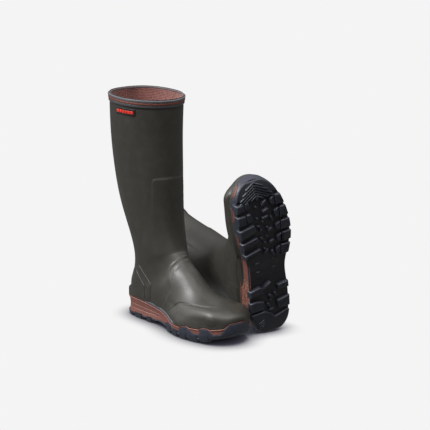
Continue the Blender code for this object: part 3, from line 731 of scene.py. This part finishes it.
def lining(side):
    """The knitted bootie, which shows inside the mouth."""
    lip = [0.0006, 0.0016, 0.003, 0.0048, 0.0066, 0.0086]
    down = np.concatenate([lip, np.linspace(0.011, 0.992, LINING_ROWS - len(lip))])
    around = np.arange(LINING_COLUMNS) / LINING_COLUMNS
    waves = 0.00035 * np.sin(2 * np.pi * around * 9) * (np.sin(34 * down) * ease(down / 0.05))[:, None]
    thin = fold(down)[:, None]
    outer = skin(down[:, None], around[None, :], 0.0068 - thin * 0.95)
    inner = skin(down[:, None], around[None, :], 0.0088 - thin + waves)
    points, faces = shell(inner, outer)
    faces = [face[::-1] for face in faces]
    place = np.stack(np.meshgrid(around * 0.42, down * 0.62), -1).reshape(-1, 2)
    uv = np.vstack([place, place, place[-1:], place[-1:]])
    make("knit_lining", points, faces, "lining", side, ("lining",), uv=uv, sharp=60)


def bootie(side):
    """Foam between the rubber and the lining; it starts where the wall is thick enough."""
    down, around = np.linspace(0.038, 0.985, 90)[:, None], (np.arange(96) / 96)[None, :]
    points, faces = shell(skin(down, around, 0.0026), skin(down, around, 0.0065 - 0.95 * fold(down)))
    piece = make("foam_bootie", points, faces, "foam", side, ("insulation",), sharp=60)


def footbed(side):
    """A crowned insole with rolled edges, on the bottom of the bootie."""
    rows, columns = 70, 30
    down, s = (np.linspace(*ends, rows)[:, None] for ends in ((0.632, 0.952), (-1, 1)))
    around, t = (np.linspace(*ends, columns)[None, :] for ends in ((0.374, 0.626), (-1, 1)))
    edge = np.sqrt(np.clip(1 - np.maximum(np.abs(s) ** 14, np.abs(t) ** 8), 0, 1))
    points, faces = slab(skin(down, around, 0.0088), skin(down, around, 0.0092 + 0.0042 * edge))
    piece = make("insole", points, faces, "footbed", side, ("footbed",))


def rim(side):
    """Binding of the rim: bead with a join at the back, stripe, and lower band in a darker copy of the
    binding as painted shade.
    """
    def join(around):
        return 1 + 0.16 * ease((around - 0.515) / 0.003) * ease((0.56 - around) / 0.03)
    ring("bead", rounded_ring((0.0028, -0.0001), (0.005, 0.0028)), "binding", side, ("rim_bead",), join)
    ring("stripe", rounded_ring((0.0106, -0.001), (0.0032, 0.0015), 14, 0.55), "stripe", side,
         ("rim_stripe",))
    ring("band", rounded_ring((0.0178, -0.0004), (0.0038, 0.0014), 14, 0.45), "shaded_binding_copy", side,
         ("rim_band",), slot="binding")


def badge(side):
    """A black patch with a plain broken bar on it."""
    make("patch", *plate((0.0278, 0.048), (0.167, 0.27), 0.0013, edge=0.0009), "badge", side, ("badge",))
    points, faces = [], []
    for first in 0.1785 + 0.0146 * np.arange(6):
        spots, quads = plate((0.034, 0.0428), (first, first + 0.0128), 0.002, base=-0.0008, edge=0.0006)
        faces += [[corner + len(points) for corner in face] for face in quads]
        points += spots.tolist()
    make("patch_bar", points, faces, "mark", side, ("badge_bar",))


def spur(side):
    """Kick-off ledge round the back of the heel, on top of the midsole."""
    near = np.nonzero(PLAN[:, 0] < 0.017)[0]
    split = np.nonzero(np.diff(near) > 1)[0][0] + 1
    path = np.concatenate([near[split:], near[:split]])
    edge, away = PLAN[path], OUTWARD[path]
    along = np.linspace(0, 1, len(path))
    size = ease(np.minimum(along, 1 - along) / 0.1)[:, None]
    loops = []
    for out, z in ((-0.007, 0.0312), (-0.0004, 0.0312), (0.0012, 0.0322), (0.0018, 0.034), (0.0019, 0.047),
                   (0.0015, 0.0496), (0.0003, 0.051), (-0.002, 0.0514), (-0.009, 0.0516)):
        spot = edge + (out - 0.003 * (1 - size)) * away
        loops.append(np.column_stack([spot, np.full(len(path), z)]))
    points, faces = tube(np.array(loops))
    # The ledge is darkened in the tread look as painted shade.
    make("kick_ledge", points, faces, "tread", side, ("heel_spur",), marks=np.full(len(points), 0.75))


def ribs(side):
    """Moulded lines: chevrons on the outer side of the heel, and the shin guard's top edge."""
    for number, line in enumerate(HEEL_LINES, 1):
        rib(f"heel_line_{number}", seen(line), side, 0.0012, 0.001)
    rib("guard_edge", traced(GUARD_TOP[1:9], 110), side, 0.0008, 0.0004)


# ---- the sole's pieces

def around_sole(levels):
    """Rings of the plan: each level is (out, height), for the whole plan or for each of its points."""
    return [np.column_stack([PLAN + np.broadcast_to(out, len(PLAN))[:, None] * OUTWARD, height])
            for out, height in levels]


def closed_rings(rings, across=26, bottom=None):
    """A closed body of stacked rings, with gridded ends so that they can follow the sole's curve."""
    count = len(PLAN)
    points = np.vstack(rings)
    faces = [face[::-1] for face in wrapped(len(rings), count)]
    outer = np.arange(EDGE_POINTS)
    inner = -outer % count
    share = np.linspace(0, 1, across)[1:-1, None]
    for level, upward in ((0, False), (len(rings) - 1, True)):
        loop = rings[level]
        grid = loop[outer][:, None] * (1 - share) + loop[inner][:, None] * share
        if bottom is not None and not upward:
            grid = bottom(grid)
        grid = grid[1:-1]
        corners = np.repeat(outer[:, None], across, axis=1)
        corners[:, -1] = inner
        corners += level * count
        corners[1:-1, 1:-1] = len(points) + np.arange(grid[..., 0].size).reshape(grid.shape[:2])
        points = np.vstack([points, grid.reshape(-1, 3)])
        for quad in quads(corners):
            face = list(dict.fromkeys(quad[:1] + quad[:0:-1]))
            if len(face) > 2:
                faces.append(face if upward else face[::-1])
    return points, faces


def outsole_body():
    """Plate and raised rim of the outsole."""
    x = PLAN[:, 0]
    low, high = underside(x), seam(x, ON_INNER)
    peak = np.clip((high - 0.012) / 0.016, 0, 1)
    levels = [(-0.0016, low), (-0.0005, low + 0.0004), (0.0002, low + 0.0014)]
    for t in (0.16, 0.3, 0.42, 0.5, 0.58, 0.7, 0.82, 0.92):
        z = low + 0.0014 + (high - low - 0.0028) * t
        out = 0.0003 + 0.0009 * peak * ease(t / 0.6) - 0.0007 * np.exp(-((z - 0.0095) / 0.001) ** 2)
        out -= 0.0008 * np.exp(-((x[:, None] - TEETH[None, :]) / 0.0016) ** 2).sum(axis=1) * (1 - t)
        levels.append((out, z))
    levels += [(0.0003 + 0.0009 * peak, high - 0.0009), (0.0001 + 0.0008 * peak, high - 0.0003),
               (-0.0005 + 0.0005 * peak, high), (-RIM_WALL, high), (-RIM_WALL, LUG + PLATE + spring(x))]

    def arch(grid):
        """Ground between the lugs, sunk behind the edge, with faint raised blocks under the waist."""
        px, py = grid[..., 0], grid[..., 1]
        share = np.linspace(0, 1, grid.shape[1] + 2)[1:-1]
        grid[..., 2] += SUNK * ease(np.minimum(share, 1 - share) / 0.07)[None, :]
        for x0, y0 in ((0.112, 0.01), (0.13, 0.01), (0.112, -0.024), (0.13, -0.024)):
            x1, y1 = x0 + 0.014, y0 + 0.014
            within = np.minimum(np.minimum(px - x0, x1 - px), np.minimum(py - y0, y1 - py))
            grid[..., 2] -= 0.0016 * ease(within / 0.0014)
        return grid
    points, faces = closed_rings(around_sole(levels), bottom=arch)
    # Marks for the tread look: the bottom ring and the gridded ends, with the ground between the lugs, are
    # darkened as painted shade in the grooves.
    marks = np.zeros(len(points))
    marks[:len(PLAN)] = 1
    marks[len(levels) * len(PLAN):] = 1
    return points, faces, marks


def midsole_body():
    """Brown midsole: a lip along its top, and mouldings round the heel."""
    x = PLAN[:, 0]
    foot = seam(x, ON_INNER) + 0.0002
    head = np.maximum(top(x, ON_INNER), foot + 0.001)
    heel = ease((0.135 - x) / 0.03)
    levels = [(-RIM_WALL - 0.0004, LUG + PLATE + spring(x) + 0.0002), (-RIM_WALL - 0.0004, foot - 0.0004),
              (-0.0016, foot - 0.0002)]
    scale = np.minimum(1, (head - foot) / 0.0034)
    for step in range(WALL_STEPS):
        t = step / WALL_STEPS
        line = 0.0008 * (step in GROOVES)
        levels.append((-0.0003 - heel * (0.0013 * np.sin(np.pi * t) + line),
                       foot + (head - 0.003 * scale - foot) * t))
    for under in (0.003, 0.0026, 0.0023, 0.002, 0.0016, 0.0012, 0.0008, 0.0005, 0.0002, 0.0):
        lip = 0.0013 * math.sqrt(max(0.0, 1 - ((under - 0.0012) / 0.0013) ** 2))
        levels.append((-0.0003 + lip * scale, head - under * scale))
    levels += [(-0.0012, head), (-0.012, head)]
    points, faces = closed_rings(around_sole(levels))
    marks = np.zeros(len(points))
    speckled = ON_INNER & (x > 0.03) & (x < 0.112)
    strength = ease((x - 0.03) / 0.01) * ease((0.118 - x) / 0.01)
    for k, (_, z) in enumerate(levels):
        marks[k * len(PLAN):(k + 1) * len(PLAN)] = np.where(speckled & (head - z > 0.003), strength, 0)
    return points, faces, marks


def on_edge(x0, x1, inner, out=0.8, count=6):
    """Points in millimetres along the plan's edge between two x, for the outer ends of the lugs."""
    stations = np.arange(400)
    curve = edge_curve(INNER_EDGE if inner else OUTER_EDGE, len(stations)) * 1000
    away = sideways(np.gradient(curve, axis=0)) * (-1 if inner else 1)
    at = np.interp(np.linspace(x0, x1, count), np.maximum.accumulate(curve[:, 0]), stations)
    return list(zip(*(np.interp(at, stations, column) for column in (curve + out * away).T)))


def bar(x0, y0, x1, y1, wide):
    """Outline of a straight bar between two points."""
    length = math.hypot(x1 - x0, y1 - y0)
    aside, ahead = -(y1 - y0) / length * wide / 2, (x1 - x0) / length * wide / 2
    return [(x0 + aside, y0 + ahead), (x1 + aside, y1 + ahead),
            (x1 - aside, y1 - ahead), (x0 - aside, y0 - ahead)]


def tread_blocks():
    """Plan outlines of the lugs, each with its height above the ground and how deep it is rooted."""
    blocks = []

    def add(outline, sunk=0.0, root=0.0):
        """All in millimetres."""
        blocks.append((np.array(outline) / 1000, sunk / 1000, root / 1000))

    # slanted bars on the inner side: toe-side edge at the rim and at its inner end, and the heel side
    for rim_x, end_x, end_y, back in ((263, 265, 23, 249), (243, 244, 22, 226), (216.5, 221.5, 18, 199),
                                      (190.5, 196, 14, 177), (166.5, 173, 11, 158)):
        drop = end_x - rim_x
        if rim_x > 230:                     # the two nearest the toe are cut by a sipe
            mid = 31.5
            share = drop * (mid - 45) / (end_y - 45)
            cut, low = rim_x + share, back + share
            add(on_edge(back, rim_x, True) + [(cut, mid + 0.6), (low, mid + 0.6)], root=5)
            add([(cut, mid - 0.6), (end_x, end_y), (back + drop + 3, end_y - 2), (low, mid - 0.6)])
        else:
            add(on_edge(back, rim_x, True) + [(end_x, end_y), (back + drop + 3, end_y - 3)], root=5)
    # rounded blocks on the outer side, each cut by a sipe
    for x0, x1, y in ((245, 263, -20), (221, 240, -25), (196.5, 213.5, -24.5), (173, 190, -25),
                      (148, 166.5, -21)):
        add(on_edge(x0, x1, False)[::-1] + [(x0 - 1, y - 9.5), (x1 + 1, y - 11)], root=5)
        add([(x0 - 0.4, y - 8), (x0 + 4, y), (x1 - 4, y + 1), (x1 + 0.4, y - 9.5)])
    # zigzag of small blocks along the middle
    for block in ((263, 6, 274, -2, 4.2), (251, -1, 259, -12, 4.6), (239, -1, 242.5, -14, 5.2),
                  (227.5, 1, 230, -12, 4), (218, -19, 228, -16.5, 3.6), (200, -8, 205, -17, 5.2),
                  (177.5, -9, 181, -19, 5), (153, -15, 162, -13, 5.6), (158, 3, 167, -5, 3.4),
                  (213, 6, 217, 12, 3.6), (188, 3, 193, 8, 3.6)):
        add(bar(*block), sunk=0.6)
    for x, y in ((66, -1), (252, 10), (231, 11), (207, 6), (209, -7), (181.5, 0), (170, 2), (192, -5),
                 (222, 1)):
        add([(x + 1.9 * math.cos(a), y + 1.9 * math.sin(a)) for a in np.arange(6) * math.pi / 3], sunk=0.4)
    # toe: a shallow plate with nested V ribs
    add(on_edge(268, 296.5, True, 0, 12) + on_edge(268, 296.5, False, 0, 12)[::-1]
        + [(262, -22), (267, -8), (269, 4.5), (267, 16), (263, 26)], sunk=3)
    for apex, reach in ((294.5, 18), (290, 26), (285.5, 33), (281, 36), (276.5, 24), (272, 13)):
        for far in (min(4.5 + reach, 39.5), max(4.5 - reach, -32.5)):
            drop = abs(far - 4.5) / 2
            add([(apex, 4.5), (apex - 2.6, 4.5), (apex - 2.6 - drop, far), (apex - drop, far)], sunk=0.4)
    # heel
    add(on_edge(80, 93.5, True) + [(97.5, 20), (94, 13), (81, 13)], root=2.8)
    add(on_edge(51, 70, True) + [(71.5, 30), (66.5, 13), (51, 13)], root=2.8)
    add([(93, 15), (103, -3.5), (99, -5.5), (88, 11)])
    add(on_edge(80, 93, False)[::-1] + [(80.5, -18), (91, -17)], root=2.8)
    add(on_edge(42.5, 64, False)[::-1] + [(42.5, -16), (60, -13)], root=2.8)
    for block in ((76, 2, 70, -6), (60, 6, 52, 1), (78, -10, 70, -13), (46, 4, 46, -6)):
        add(bar(*block, 4), sunk=0.8)
    add(on_edge(3.5, 46, True, count=14) + [(46, 12), (40, 1), (29, -8), (35.5, -30)]
        + on_edge(3.5, 34, False, count=12)[::-1], root=0.5, sunk=1.6)
    for x in 13 + 3.6 * np.arange(4):
        add([(x, 30), (x + 1.5, 30), (x + 7.5, 16), (x + 6, 16)])
    return blocks


def area(outline):
    """Signed area of a plan outline, positive when it runs anticlockwise."""
    following = np.roll(outline, -1, axis=0)
    return (outline[:, 0] * following[:, 1] - following[:, 0] * outline[:, 1]).sum() / 2


def softened(outline, cut=0.0014):
    """The outline anticlockwise, with each corner cut off at a short distance."""
    if area(outline) < 0:
        outline = outline[::-1]
    result = []
    for before, here, after in zip(np.roll(outline, 1, axis=0), outline, np.roll(outline, -1, axis=0)):
        for other in (before, after):
            length = np.linalg.norm(other - here)
            result.append(here + (other - here) * min(cut / max(length, 1e-9), 0.35))
    return np.array(result)


def grown(outline, out):
    """The outline moved outwards."""
    return outline + out * sideways(np.roll(outline, -1, axis=0) - np.roll(outline, 1, axis=0))


def tread_body():
    """All lugs: tapered blocks with rounded edges, rooted in the plate."""
    points, faces, marks = [], [], []
    for outline, sunk, root in tread_blocks():
        outline = softened(outline)
        count, first = len(outline), len(points)
        size = min(1.0, max(0.45, math.sqrt(abs(area(outline))) / 0.011))
        for out, above in ((0.0007, None), (0.0002, 0.0026 * size), (-0.0005 * size, 0.0012 * size),
                           (-0.0013 * size, 0.0004 * size), (-0.0024 * size, 0.0)):
            loop = grown(outline, out)
            x = loop[:, 0]
            z = underside(x) + SUNK + 0.001 + root if above is None else spring(x) + sunk + above
            points += np.column_stack([loop, z]).tolist()
        faces += [face[:1] + face[:0:-1] for face in wrapped(5, count, first)]
        faces.append([first + k for k in range(count)])
        faces.append([first + 4 * count + k for k in reversed(range(count))])
        # Marks for the tread look: the lugs' faces are darkened, and their walls a little towards the
        # roots, as painted shade; the rounded edges stay lighter, a painted highlight.
        marks += [0.2] * count + [0.25] * count + [0.0] * (2 * count) + [0.72] * count
    return np.array(points), faces, np.array(marks)


def strip(side, outer):
    """Strip on the upper above the midsole, along the outer side of the waist, in a lighter, bluer copy of
    the tread rubber: a painted sheen.
    """
    spots = outer[outer[..., 1] < 0]
    x = np.linspace(0.064, 0.18, 110)
    taper = ease((x - 0.064) / 0.03) * (0.3 + 0.7 * ease((0.182 - x) / 0.014))
    height = top(x, False) + 0.0004 + 0.0026 * taper
    middle = [spots[((spots[:, ::2] - place) ** 2).sum(axis=1).argmin(), 1] for place in zip(x, height)]
    middle = np.convolve(np.pad(middle, 5, mode="edge"), np.ones(11) / 11, mode="valid")
    thick, tall = 0.0012 * np.maximum(taper, 0.2), 0.0028 * np.maximum(taper, 0.1)
    loops = [np.column_stack([x, middle + 0.0002 - thick * math.sin(turn),
                              height + tall * math.cos(turn)])
             for turn in np.arange(12) * math.pi / 6]
    make("waist_strip", *tube(np.array(loops)), "trim", side, slot="tread")


# ---- build both boots
UPPER_DOWN = spaced([(0, 0.55), (0.19, 0.55), (0.215, 1.5), (0.265, 1.5), (0.3, 0.55), (0.43, 0.8),
                     (0.5, 1.35), (1, 1.35)], UPPER_ROWS) * 0.996 + 0.004
UPPER_AROUND = np.arange(UPPER_COLUMNS) / UPPER_COLUMNS
heights = relief(*np.meshgrid(UPPER_DOWN, UPPER_AROUND, indexing="ij"))
sole = (("outsole_plate", "tread", "outsole", 40, outsole_body()),
        ("tread_lugs", "tread", "outsole", 50, tread_body()),
        ("foam_midsole", "midsole", "midsole", 40, midsole_body()))

for boot in SIDES:
    outside = upper(boot, heights)
    lining(boot)
    footbed(boot)
    rim(boot)
    badge(boot)
    spur(boot)
    strip(boot, outside)
    ribs(boot)
    bootie(boot)
    for name, look, node, sharp, (points, faces, marks) in sole:
        make(name, points, faces, look, boot, (node,), sharp=sharp, marks=marks)

hidden = {"heel_stiffener": "board", "toe_stiffener": "board", "insole_board": "board", "shank": "steel",
          "heel_cushion": "cushion"}
for boot in SIDES:
    for node, look in hidden.items():
        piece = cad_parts[f"{boot}_{node}"]
        piece.data.materials.clear()
        piece.data.materials.append(LOOKS[look])

# ---- floor, light and camera
AZIMUTH, ELEVATION, DISTANCE, LENS = 51.084, 13.7, 3.1159, 141.9
TARGET = Vector((0.0478, 0.0021, 0.1927))


def towards(azimuth, elevation):
    a, e = math.radians(azimuth), math.radians(elevation)
    return Vector((math.sin(a) * math.cos(e), -math.cos(a) * math.cos(e), math.sin(e)))


def floor_look():
    n = Nodes("pale_floor")
    n.bumps((n.noise(30, 3), 0.02, 0.0005))
    # The floor's glow darkens close to the boots by ambient occlusion: a painted contact shadow.
    near = n.add("ShaderNodeAmbientOcclusion", Distance=0.042).outputs["AO"]
    shade = n.ramp(near, [(0.0, (0.0, 0.0, 0.0)), (0.36, (0.05, 0.05, 0.07)), (0.64, (0.47, 0.47, 0.49)),
                          (0.9, (0.85, 0.85, 0.855)), (1.0, (0.905, 0.905, 0.905))])
    return n.set(Base_Color=(0.0, 0.0, 0.0), Specular_IOR_Level=0.0, Emission_Color=shade,
                 Emission_Strength=1.0)


bpy.ops.mesh.primitive_circle_add(vertices=96, radius=14, fill_type="NGON", location=(0, 0, 0))
ground = bpy.context.object
ground.name = "floor"
ground.data.materials.append(floor_look())
ground.visible_diffuse = False
ground.visible_glossy = False


def sun(name, azimuth, elevation, spread, power):
    """A distant soft light, even over the whole floor."""
    light = bpy.data.lights.new(name, "SUN")
    light.angle = math.radians(spread)
    light.energy = power
    light.color = (1.0, 0.99, 1.0)
    holder = bpy.data.objects.new(name, light)
    bpy.context.scene.collection.objects.link(holder)
    holder.rotation_euler = towards(azimuth, elevation).to_track_quat("Z", "Y").to_euler()


sun("left", -52, 26, 40, 0.75)
sun("key", -22, 44, 22, 3.1)
sun("overhead", 44, 66, 40, 0.95)
sun("right", 100, 60, 44, 0.45)

world = bpy.data.worlds.new("studio")
bpy.context.scene.world = world
world.use_nodes = True
tree = world.node_tree
height_of = tree.nodes.new("ShaderNodeSeparateXYZ")
tree.links.new(tree.nodes.new("ShaderNodeTexCoord").outputs["Generated"], height_of.inputs[0])
sky = tree.nodes.new("ShaderNodeFloatCurve")
for place, strength in ((0.0, 0.26), (0.45, 0.12), (0.55, 0.09), (1.0, 0.26)):
    sky.mapping.curves[0].points.new(place, strength)
sky.mapping.update()
half_up = tree.nodes.new("ShaderNodeMath")
half_up.operation = "MULTIPLY_ADD"
half_up.inputs[1].default_value = half_up.inputs[2].default_value = 0.5
tree.links.new(height_of.outputs["Z"], half_up.inputs[0])
tree.links.new(half_up.outputs[0], sky.inputs["Value"])
tree.links.new(sky.outputs[0], tree.nodes["Background"].inputs["Strength"])
tree.nodes["Background"].inputs["Color"].default_value = (1, 1, 1, 1)

camera = bpy.data.objects.new("camera", bpy.data.cameras.new("camera"))
bpy.context.scene.collection.objects.link(camera)
camera.data.lens = LENS
camera.data.sensor_width = 36
camera.data.clip_end = 60
camera.location = TARGET + towards(AZIMUTH, ELEVATION) * DISTANCE
camera.rotation_euler = towards(AZIMUTH, ELEVATION).to_track_quat("Z", "Y").to_euler()
bpy.context.scene.camera = camera
bpy.context.scene.view_settings.view_transform = "Standard"
bpy.context.view_layer.update()
